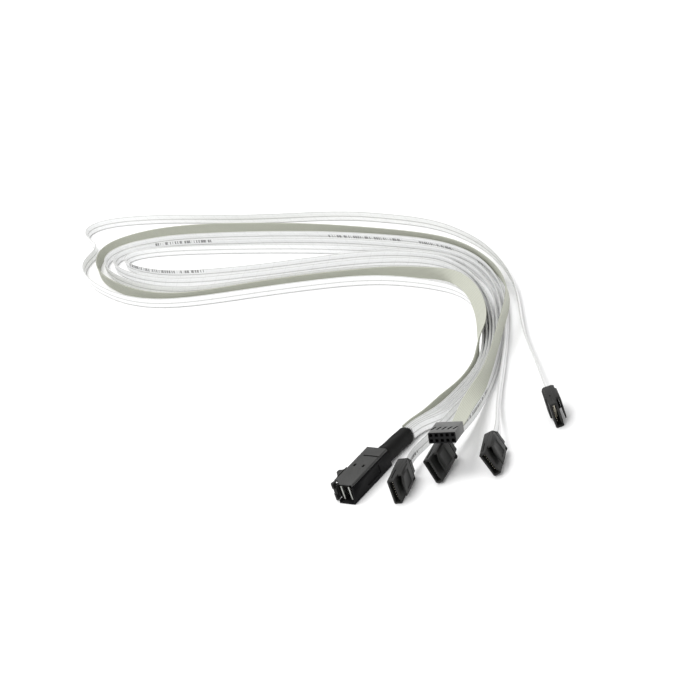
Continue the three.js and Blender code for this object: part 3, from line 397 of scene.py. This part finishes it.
def clear_jacket(name, prints):
    """Clear film over two shielded pairs; prints are (from, to, v) stretches of grey dashes."""
    mat, nt, bsdf = new_material(name)
    u, v = uv_parts(nt)
    # distance from the centre of the nearer pair, over the width
    w = math_node(nt, "ABSOLUTE", math_node(nt, "SUBTRACT", v, 0.5))
    d = math_node(nt, "ABSOLUTE", math_node(nt, "SUBTRACT", w, 0.235))
    # pale foil pairs and a greyer clear web between them; each pair darkens towards its rounded edge into a dark line
    # where it meets the web, which is painted shade in the groove
    pair = ramp(nt, d, [(0.0, (0.86, 0.865, 0.87)), (0.12, (0.88, 0.885, 0.885)),
                        (0.185, (0.80, 0.805, 0.80)), (0.215, (0.50, 0.505, 0.50)), (0.26, (0.66, 0.665, 0.65))])
    # foil wound round the pairs: a faint slanting seam
    comb = nt.nodes.new("ShaderNodeCombineXYZ")
    nt.links.new(math_node(nt, "MULTIPLY", u, 100.0), comb.inputs[0])
    nt.links.new(math_node(nt, "MULTIPLY", v, 5.8), comb.inputs[1])
    slant = math_node(nt, "MULTIPLY_ADD", v, 0.5, math_node(nt, "MULTIPLY", u, 12.0))
    seam = math_node(nt, "FRACT", slant)
    seam_line = ramp(nt, seam, [(0.0, (0.90, 0.90, 0.90)), (0.04, (1, 1, 1)), (0.96, (1, 1, 1)), (1.0, (0.90, 0.90, 0.90))])
    body = mix(nt, 1.0, pair, seam_line, "MULTIPLY")
    n1 = noise(nt, 1.0, 4.0, 0.6, comb.outputs[0])
    shade = ramp(nt, n1, [(0.3, (0.93, 0.93, 0.925)), (0.7, (1, 1, 1))])
    body = mix(nt, 1.0, body, shade, "MULTIPLY")
    mask = None
    for lo, hi, vc in prints:
        # marks: short strokes of hashed lengths in groups
        run = band(nt, u, lo, hi, 0.0005)
        rows = band(nt, v, vc - 0.13, vc + 0.13, 0.015)
        cell = math_node(nt, "FLOOR", math_node(nt, "MULTIPLY", u, 62.0))
        wn = nt.nodes.new("ShaderNodeTexWhiteNoise")
        wn.noise_dimensions = "1D"
        nt.links.new(cell, wn.inputs["W"])
        sub = math_node(nt, "FRACT", math_node(nt, "MULTIPLY", u, 62.0))
        keep = math_node(nt, "LESS_THAN", sub, math_node(nt, "MULTIPLY_ADD", wn.outputs["Value"], 0.9, 0.05))
        group = math_node(nt, "FLOOR", math_node(nt, "MULTIPLY", u, 9.0))
        wg = nt.nodes.new("ShaderNodeTexWhiteNoise")
        wg.noise_dimensions = "1D"
        nt.links.new(group, wg.inputs["W"])
        keep = math_node(nt, "MULTIPLY", keep, math_node(nt, "GREATER_THAN", wg.outputs["Value"], 0.12))
        one = math_node(nt, "MULTIPLY", math_node(nt, "MULTIPLY", run, rows), keep)
        mask = one if mask is None else math_node(nt, "MAXIMUM", mask, one)
    if mask is not None:
        body = mix(nt, math_node(nt, "MULTIPLY", mask, 0.8), body, (0.10, 0.10, 0.10))
    nt.links.new(body, bsdf.inputs["Base Color"])
    bsdf.inputs["Roughness"].default_value = 0.38
    bsdf.inputs["Specular IOR Level"].default_value = 0.45
    bsdf.inputs["Coat Weight"].default_value = 0.35
    bsdf.inputs["Coat Roughness"].default_value = 0.12
    bump(nt, bsdf, seam, 0.05, 0.00005)
    return mat


def grey_jacket(name, wires):
    mat, nt, bsdf = new_material(name)
    u, v = uv_parts(nt)
    f = math_node(nt, "FRACT", math_node(nt, "MULTIPLY", v, float(wires)))
    d = math_node(nt, "ABSOLUTE", math_node(nt, "SUBTRACT", f, 0.5))
    # each wire lighter on its crown and much darker in the groove between wires: painted shade in the grooves
    rib = ramp(nt, d, [(0.0, (0.52, 0.53, 0.46)), (0.34, (0.47, 0.48, 0.41)), (0.5, (0.30, 0.31, 0.26))])
    comb = nt.nodes.new("ShaderNodeCombineXYZ")
    nt.links.new(math_node(nt, "MULTIPLY", u, 60.0), comb.inputs[0])
    nt.links.new(math_node(nt, "MULTIPLY", v, 20.0), comb.inputs[1])
    n1 = noise(nt, 1.0, 4.0, 0.6, comb.outputs[0])
    shade = ramp(nt, n1, [(0.3, (0.93, 0.93, 0.92)), (0.7, (1, 1, 1))])
    nt.links.new(mix(nt, 1.0, rib, shade, "MULTIPLY"), bsdf.inputs["Base Color"])
    bsdf.inputs["Roughness"].default_value = 0.5
    bsdf.inputs["Specular IOR Level"].default_value = 0.35
    bump(nt, bsdf, n1, 0.06, 0.00004)
    return mat


def gold_metal(name, a, b, rough):
    mat, nt, bsdf = new_material(name)
    n1 = noise(nt, 900.0, 3.0, 0.5)
    nt.links.new(ramp(nt, n1, [(0.3, a), (0.7, b)]), bsdf.inputs["Base Color"])
    nt.links.new(math_node(nt, "MULTIPLY_ADD", n1, 0.15, rough - 0.07), bsdf.inputs["Roughness"])
    bsdf.inputs["Metallic"].default_value = 1.0
    return mat


# the multi-lane plug is one black plastic: its body black is made darker as painted shade on the flanks, and its
# cover black lighter as painted light on the top
M_BODY_PAINTED_SHADE = moulded("black_moulded", (0.0022, 0.0022, 0.0026), (0.0048, 0.0048, 0.0052), 0.50, 0.10)
M_COVER_PAINTED_LIT = moulded("cover_black", (0.021, 0.021, 0.020), (0.034, 0.034, 0.033), 0.46, 0.36)
M_PLUG = moulded("plug_black", (0.0075, 0.0075, 0.007), (0.0145, 0.0145, 0.0135), 0.44, 0.26)
M_SOFT = moulded("sleeve_black", (0.0035, 0.0035, 0.0035), (0.0070, 0.0070, 0.0065), 0.50, 0.12, grain=900.0)
M_GREY = moulded("header_grey", (0.080, 0.080, 0.078), (0.125, 0.125, 0.122), 0.42, 0.45)
# near-black for the grey header's mating face, downward faces and openings: painted shade
M_HEADER_PAINTED_SHADE = moulded("header_black", (0.0035, 0.0035, 0.004), (0.008, 0.008, 0.0085), 0.5, 0.15)
M_BOARD = moulded("board_dark", (0.008, 0.009, 0.008), (0.016, 0.018, 0.016), 0.4, 0.5)
M_EDGE = moulded("board_edge", (0.32, 0.33, 0.31), (0.46, 0.47, 0.44), 0.6, 0.4)
M_GOLD = gold_metal("contact_gold", (0.70, 0.65, 0.52), (0.84, 0.79, 0.66), 0.30)
M_TERM = gold_metal("terminal_dull", (0.06, 0.055, 0.045), (0.10, 0.09, 0.075), 0.4)
M_TIN = gold_metal("pad_tin", (0.72, 0.71, 0.66), (0.85, 0.84, 0.80), 0.3)


# ---------------------------------------------------- refined CAD solids
def refine(node, name, width, segments, mat, body="cable", angle=25.0, replaces=True):
    """A copy of a CAD solid with its coplanar faces merged and its edges rounded."""
    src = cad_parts[node]
    me = src.data.copy()
    me.name = name
    bm = bmesh.new()
    bm.from_mesh(me)
    bmesh.ops.remove_doubles(bm, verts=bm.verts, dist=1e-6)
    bmesh.ops.dissolve_limit(bm, angle_limit=math.radians(1.0), verts=bm.verts, edges=bm.edges)
    bm.to_mesh(me)
    bm.free()
    me.materials.clear()
    me.materials.append(mat)
    ob = link(bpy.data.objects.new(name, me))
    if width > 0:
        bv = ob.modifiers.new("edge", "BEVEL")
        bv.width = width
        bv.segments = segments
        bv.limit_method = "ANGLE"
        bv.angle_limit = math.radians(angle)
        bv.harden_normals = False
        bv.use_clamp_overlap = True
        dg = bpy.context.evaluated_depsgraph_get()
        me2 = bpy.data.meshes.new_from_object(ob.evaluated_get(dg))
        ob.modifiers.clear()
        ob.data = me2
        me2.name = name
    ob.data.polygons.foreach_set("use_smooth", [True] * len(ob.data.polygons))
    ob.data.set_sharp_from_angle(angle=math.radians(32))
    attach(ob, body)
    if replaces:
        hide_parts(node)
    return ob


def plate(name, matrix, x0, x1, y0, y1, z0, z1, mat, slot, bev=0.00003):
    """A small rounded block in a plug's own axes."""
    bm = bmesh.new()
    bmesh.ops.create_cube(bm, size=1.0)
    for v in bm.verts:
        v.co = Vector(((x0 + x1) / 2 + v.co.x * (x1 - x0), (y0 + y1) / 2 + v.co.y * (y1 - y0),
                       (z0 + z1) / 2 + v.co.z * (z1 - z0)))
    bmesh.ops.bevel(bm, geom=list(bm.edges), offset=bev, segments=2, affect="EDGES", clamp_overlap=True)
    bmesh.ops.transform(bm, matrix=matrix, verts=bm.verts)
    return bm


def collect(name, bms, mat, body="cable"):
    me = bpy.data.meshes.new(name)
    out = bmesh.new()
    for bm in bms:
        tmp = bpy.data.meshes.new("tmp")
        bm.to_mesh(tmp)
        out.from_mesh(tmp)
        bpy.data.meshes.remove(tmp)
        bm.free()
    out.to_mesh(me)
    out.free()
    me.materials.append(mat)
    ob = link(bpy.data.objects.new(name, me))
    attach(ob, body)
    return ob


# ------------------------------------------------------------- the cords
PRINTS = {
    "RIBBON_1": [(3.40, 3.98, 0.84), (8.345, 8.425, 0.50)],
    "RIBBON_2": [(4.42, 4.80, 0.86), (8.02, 8.32, 0.60)],
    "RIBBON_3": [(5.70, 6.60, 0.56), (6.84, 7.14, 0.50)],
    "RIBBON_4": [],
    "SIDEBAND": [],
}
ribbons = {}
for key in ("RIBBON_1", "RIBBON_2", "RIBBON_3", "RIBBON_4"):
    pts, q, tan, across, through, lean = smooth_route(key, 0.0014)
    prof, vpos = lobed(RIBBON_HIGH, RIBBON_THICK, 2, 0.00022, 0.00035, 10)
    ob = sweep("data_cable_" + key[-1], pts, q, across, through, prof, vpos)
    ob.data.materials.append(clear_jacket("clear_jacket_" + key[-1], PRINTS[key]))
    ribbons[key] = (ob, pts, q, tan, across, through)
pts, q, tan, across, through, lean = smooth_route("SIDEBAND", 0.0018)
prof, vpos = lobed(SIDE_HIGH, SIDE_THICK, 10, 0.00017, 0.00006, 4)
ob = sweep("sideband_cable", pts, q, across, through, prof, vpos)
ob.data.materials.append(grey_jacket("grey_jacket", 10))
ribbons["SIDEBAND"] = (ob, pts, q, tan, across, through)

# ----------------------------------------------------------- plug pieces
for n in range(1, 5):
    refine(f"sata{n}_housing", f"drive_plug_{n}_shell", 0.00014, 2, M_PLUG)
    refine(f"sata{n}_grip", f"drive_plug_{n}_grip", 0.00030, 3, M_PLUG)
    refine(f"sata{n}_contacts", f"drive_plug_{n}_contacts", 0.00004, 1, M_GOLD)
header_pieces = [refine("header_housing", "header_plug_housing", 0.00008, 2, M_GREY)]
# the mating face, the downward faces and everything inside the openings get the near-black second material: painted
# shade on the one grey housing
hp = header_pieces[0].data
hp.materials.append(M_HEADER_PAINTED_SHADE)
hb = Vector(HEADER_BACKWARD).normalized()
hr = hb.cross(Vector(HEADER_UP)).normalized()
hu = hr.cross(hb)
hf = Vector(HEADER_FRONT) * 0.001 + Vector((OX, OY, 0))
for f in hp.polygons:
    d = f.center - hf
    inside = abs(d.dot(hr)) < 0.0061 and abs(d.dot(hu)) < 0.00235
    if f.normal.dot(hb) < -0.6 or (inside and d.dot(hb) < 0.0135) or f.normal.dot(hu) < -0.6:
        f.material_index = 1
for i in range(1, 11):
    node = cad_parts[f"header_terminal_{i:02d}"]
    node.data.materials.clear()
    node.data.materials.append(M_TERM)
    header_pieces.append(node)

for key, n in (("RIBBON_1", 1), ("RIBBON_2", 2), ("RIBBON_3", 3), ("RIBBON_4", 4)):
    ob, pts, q, tan, across, through = ribbons[key]
    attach(ob, "cable")
    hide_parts(f"data_ribbon_{n}")
ob, pts, q, tan, across, through = ribbons["SIDEBAND"]
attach(ob, "cable")
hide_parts("sideband_ribbon")

# -------------------------------------------------------- multi-lane plug
# body gets the painted-shade black (dark flanks), cover the painted-light black (lit top)
refine("minisas_body", "multilane_body", 0.00012, 2, M_BODY_PAINTED_SHADE)
refine("minisas_cover", "multilane_cover", 0.00014, 2, M_COVER_PAINTED_LIT)
refine("release_latch", "multilane_latch", 0.00010, 2, M_PLUG, body="latch")
refine("paddle_card_1", "card_1", 0.00005, 1, M_BOARD)
refine("paddle_card_2", "card_2", 0.00005, 1, M_BOARD)
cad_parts["inner_mould"].data.materials.clear()
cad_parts["inner_mould"].data.materials.append(M_SOFT)

# pale tin-coloured metal pads on both faces of each card
pads = []
HF = -0.02245 + OX
for node in ("paddle_card_1", "paddle_card_2"):
    lo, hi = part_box(node)
    yc = (lo[1] + hi[1]) / 2
    for k in range(9):
        z = lo[2] + 0.00062 + k * 0.00075
        for sgn in (-1, 1):
            y0 = yc + sgn * 0.0004
            y1 = yc + sgn * 0.00043
            pads.append(plate("pad", Matrix.Identity(4), HF + 0.0012, HF + 0.0052, min(y0, y1), max(y0, y1),
                              z - 0.00024, z + 0.00024, M_TIN, "gold", 0.000005))
collect("card_pads", pads, M_TIN)

# pale cut front edge of each card, where the bare laminate shows
edges = []
for node in ("paddle_card_1", "paddle_card_2"):
    lo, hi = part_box(node)
    edges.append(plate("edge", Matrix.Identity(4), lo[0] - 0.00004, lo[0] + 0.00003, lo[1] + 0.00006, hi[1] - 0.00006,
                       lo[2] + 0.00010, hi[2] - 0.00010, M_EDGE, "board", 0.00001))
collect("card_front_edges", edges, M_EDGE)

# ---------------------------------------------------------------- sleeve
def sleeve():
    start = Vector((0.00695 + OX, -0.00165 + OY, 0.0048))
    end = Vector((0.02712 + OX, -0.00267 + OY, 0.00415))
    along = (end - start).normalized()
    side = Vector((0, 0, 1)).cross(along).normalized()
    up = along.cross(side)
    length = (end - start).length
    seg, rings = 64, 70
    me = bpy.data.meshes.new("strain_relief_sleeve")
    bm = bmesh.new()
    grid = []
    rng = np.random.RandomState(7)
    phase = rng.rand(6) * 6.28
    for r in range(rings):
        f = r / (rings - 1)
        s = 0.00032 + f * (length - 0.00032)
        k = 1.0 + 0.03 * math.exp(-((s - 0.0022) / 0.0013) ** 2)
        tail = max(0.0, (s - (length - 0.0024)) / 0.0024)
        k *= math.sqrt(max(0.0, 1 - (tail ** 2.6) * 0.50))
        row = []
        for j in range(seg):
            a = 2 * math.pi * j / seg
            c, sn = math.cos(a), math.sin(a)
            rr = 1 / ((abs(c) ** 3 + abs(sn) ** 3) ** (1 / 3))
            wr = 1 + 0.012 * math.sin(3 * a + 9 * f + phase[0]) * f + 0.008 * math.sin(5 * a - 14 * f + phase[1])
            # the wires inside press shallow flats into it towards the free end
            wr += 0.014 * f * math.cos(4 * a + phase[2]) * 0.6
            p = start + along * s + side * (0.0035 * k * rr * wr * c) + up * (0.0039 * k * rr * wr * sn)
            if r == 0:
                p = Vector((start.x + 0.00032, p.y, p.z))
            row.append(bm.verts.new(p))
        grid.append(row)
    for r in range(rings - 1):
        for j in range(seg):
            bm.faces.new((grid[r][j], grid[r][(j + 1) % seg], grid[r + 1][(j + 1) % seg], grid[r + 1][j]))
    # turned-in lip at the free end, with a recess that the ribbons leave through
    inner = []
    for j in range(seg):
        p = grid[-1][j].co.copy()
        c = start + along * length
        inner.append(bm.verts.new(c + (p - c) * 0.86 - along * 0.0001))
    for j in range(seg):
        bm.faces.new((grid[-1][j], grid[-1][(j + 1) % seg], inner[(j + 1) % seg], inner[j]))
    deep = [bm.verts.new(v.co - along * 0.0008) for v in inner]
    for j in range(seg):
        bm.faces.new((inner[j], inner[(j + 1) % seg], deep[(j + 1) % seg], deep[j]))
    bm.faces.new(deep)
    bm.faces.new(list(reversed(grid[0])))
    bmesh.ops.recalc_face_normals(bm, faces=bm.faces)
    bm.to_mesh(me)
    bm.free()
    me.polygons.foreach_set("use_smooth", [True] * len(me.polygons))
    me.set_sharp_from_angle(angle=math.radians(50))
    me.materials.append(M_SOFT)
    ob = link(bpy.data.objects.new("strain_relief_sleeve", me))
    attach(ob, "cable")
    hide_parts("strain_sleeve")


sleeve()

# ------------------------------------------------------- floor and light
me = bpy.data.meshes.new("floor")
me.from_pydata([(-4, -4, -0.00004), (4, -4, -0.00004), (4, 4, -0.00004), (-4, 4, -0.00004)], [], [(0, 1, 2, 3)])
floor = link(bpy.data.objects.new("floor", me))
mat, nt, bsdf = new_material("floor_white")
bsdf.inputs["Base Color"].default_value = (0.90, 0.90, 0.90, 1)
bsdf.inputs["Roughness"].default_value = 0.85
bsdf.inputs["Specular IOR Level"].default_value = 0.1
me.materials.append(mat)

world = bpy.data.worlds.new("studio")
scene.world = world
world.use_nodes = True
bg = world.node_tree.nodes["Background"]
bg.inputs[0].default_value = (1, 1, 1, 1)
bg.inputs[1].default_value = 0.84


def area(name, loc, target, size, power):
    ld = bpy.data.lights.new(name, "AREA")
    ld.shape = "DISK"
    ld.size = size
    ld.energy = power
    ob = link(bpy.data.objects.new(name, ld))
    ob.location = loc
    ob.rotation_euler = (Vector(target) - Vector(loc)).to_track_quat("-Z", "Y").to_euler()
    return ob


area("key", (0.15, 0.55, 1.5), (0.05, 0.05, 0), 0.9, 12.0)
area("fill", (-0.9, -0.2, 1.1), (0.05, 0.05, 0), 0.8, 6.0)
scene.view_settings.view_transform = "Standard"
